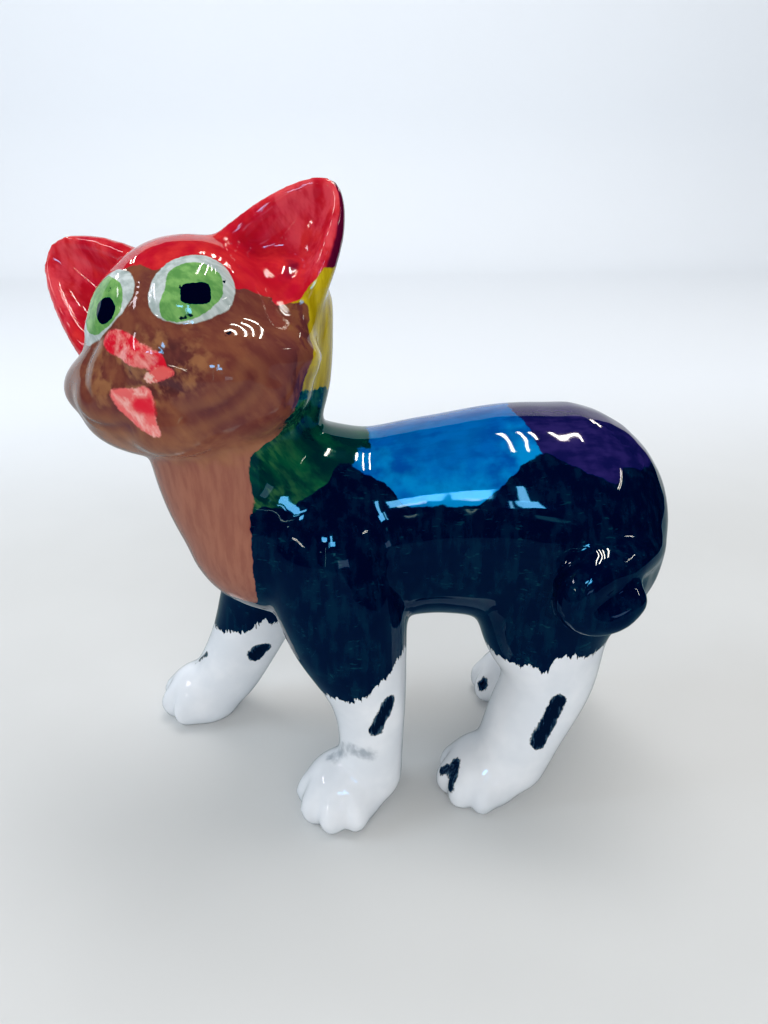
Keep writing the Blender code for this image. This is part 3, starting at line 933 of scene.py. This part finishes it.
def area_light(name, place, aim, size, radiance, colour, mirrored=True, lighting=True):
    """Rectangular light at a place, aimed at a point; size is width and height in metres.

    A light that isn't mirrored lights the scene but doesn't show in the glaze, and one that
    isn't lighting only shows there.
    """
    data = bpy.data.lights.new(name, "AREA")
    data.shape = "RECTANGLE"
    data.size, data.size_y = size
    data.energy = radiance * math.pi * size[0] * size[1]
    data.color = colour
    light = bpy.data.objects.new(name, data)
    light.location = place
    light.rotation_euler = (Vector(aim) - Vector(place)).to_track_quat("-Z", "Y").to_euler()
    light.visible_camera = False
    light.visible_glossy = mirrored
    light.visible_diffuse = lighting
    bpy.context.scene.collection.objects.link(light)


# Ceiling lamps: height, then middle and length of each pair of tubes, the gap between the
# two, and a tube's width, radiance and colour
CEILING = 1.8
LAMPS = [(-0.50, 0.56, 0.50), (-0.37, 0.26, 0.80), (-2.10, -1.70, 0.90),
         (-2.30, 1.90, 0.90), (0.60, 2.60, 0.90), (2.20, -2.60, 0.90)]
TUBE_GAP = 0.17
TUBE_WIDTH = 0.030
TUBE_RADIANCE = 60.0
TUBE_COLOUR = (1.0, 0.95, 0.90)

# Panes and other bright openings that show in the glaze: middle, size, radiance and colour
PANES = [
    ((1.55, -0.27, 1.52), (0.28, 0.22), 26.0, (0.14, 0.52, 1.0)),
    ((1.55, -0.27, 1.36), (0.16, 0.05), 22.0, (0.40, 0.70, 1.0)),
    ((1.55, 0.10, 1.50), (0.10, 0.36), 24.0, (0.16, 0.54, 1.0)),
    ((1.55, 0.15, 1.14), (0.24, 0.24), 26.0, (0.14, 0.52, 1.0)),
    ((1.55, -0.02, 1.10), (0.03, 0.30), 20.0, (0.20, 0.56, 1.0)),
    ((1.70, -0.20, 0.56), (0.010, 0.90), 7.0, (0.80, 0.95, 0.85)),
    ((1.70, -0.42, 0.80), (0.06, 0.06), 5.0, (0.80, 0.95, 0.85)),
    ((1.70, 0.20, 0.66), (0.10, 0.10), 1.6, (0.35, 0.75, 0.80)),
    ((1.60, 0.55, 0.22), (0.50, 0.30), 2.0, (0.65, 0.70, 1.0)),
    ((-0.10, -1.60, 1.45), (0.80, 0.14), 14.0, (0.95, 0.86, 1.0)),
]

# Soft lights, which don't show in the glaze: name, place, aim, size, radiance and colour
SOFT_LIGHTS = [
    ("soft_top", (-0.35, 0.25, 1.8), (0.0, 0.0, 0.0), (1.2, 0.5), 6.3, (1.0, 0.97, 0.94)),
    ("soft_front", (1.6, -0.1, 0.9), (0.0, 0.0, 0.1), (2.0, 1.2), 1.8, (1.0, 0.98, 0.95)),
    ("wall_wash", (-1.00, 0.0, 1.6), (-1.60, 0.0, 0.20), (2.4, 0.4), 1.9, (0.94, 0.97, 1.0)),
    ("soft_left", (-0.10, -1.0, 0.8), (-0.40, 0.0, 0.15), (0.6, 0.6), 3.5, (0.74, 0.88, 1.0)),
]

# Phone's deep, bluish shadows: red, green and blue that a dark grey is shown as, and the
# grey from which tones are left alone
SHADOW_AT = 0.022
SHADOW_TONES = (0.006, 0.012, 0.024)
SHADOW_END = 0.12


def studio():
    """Pairs of tube lamps on the ceiling, a window behind the camera and soft light."""
    world = bpy.data.worlds.new("room")
    world.use_nodes = True
    back = world.node_tree.nodes["Background"]
    back.inputs["Color"].default_value = (0.96, 0.98, 1.0, 1.0)
    back.inputs["Strength"].default_value = 0.46
    world.cycles_visibility.glossy = False
    bpy.context.scene.world = world
    for number, (x, middle, length) in enumerate(LAMPS):
        for side in (-0.5, 0.5):
            y = middle + side * TUBE_GAP
            area_light(f"tube_{number}_{side}", (x, y, CEILING), (x, y, 0.0),
                       (length, TUBE_WIDTH), TUBE_RADIANCE, TUBE_COLOUR, lighting=False)
    for number, (place, size, radiance, colour) in enumerate(PANES):
        area_light(f"pane_{number}", place, (0.0, 0.0, 0.1), size, radiance, colour,
                   lighting=False)
    for name, place, aim, size, radiance, colour in SOFT_LIGHTS:
        area_light(name, place, aim, size, radiance, colour, mirrored=False)
    shown = bpy.context.scene.view_settings
    shown.view_transform = "Standard"
    shown.use_curve_mapping = True
    for number, dark in enumerate(SHADOW_TONES):
        points = shown.curve_mapping.curves[number].points
        points.new(SHADOW_AT, dark)
        points.new(SHADOW_END, SHADOW_END)
    shown.curve_mapping.update()


kitten, kitten_shift = painted_kitten()
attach(kitten, "root")
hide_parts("kitten")
for sheet_of_paper in backdrop():
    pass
camera(camera_place(kitten_shift))
studio()
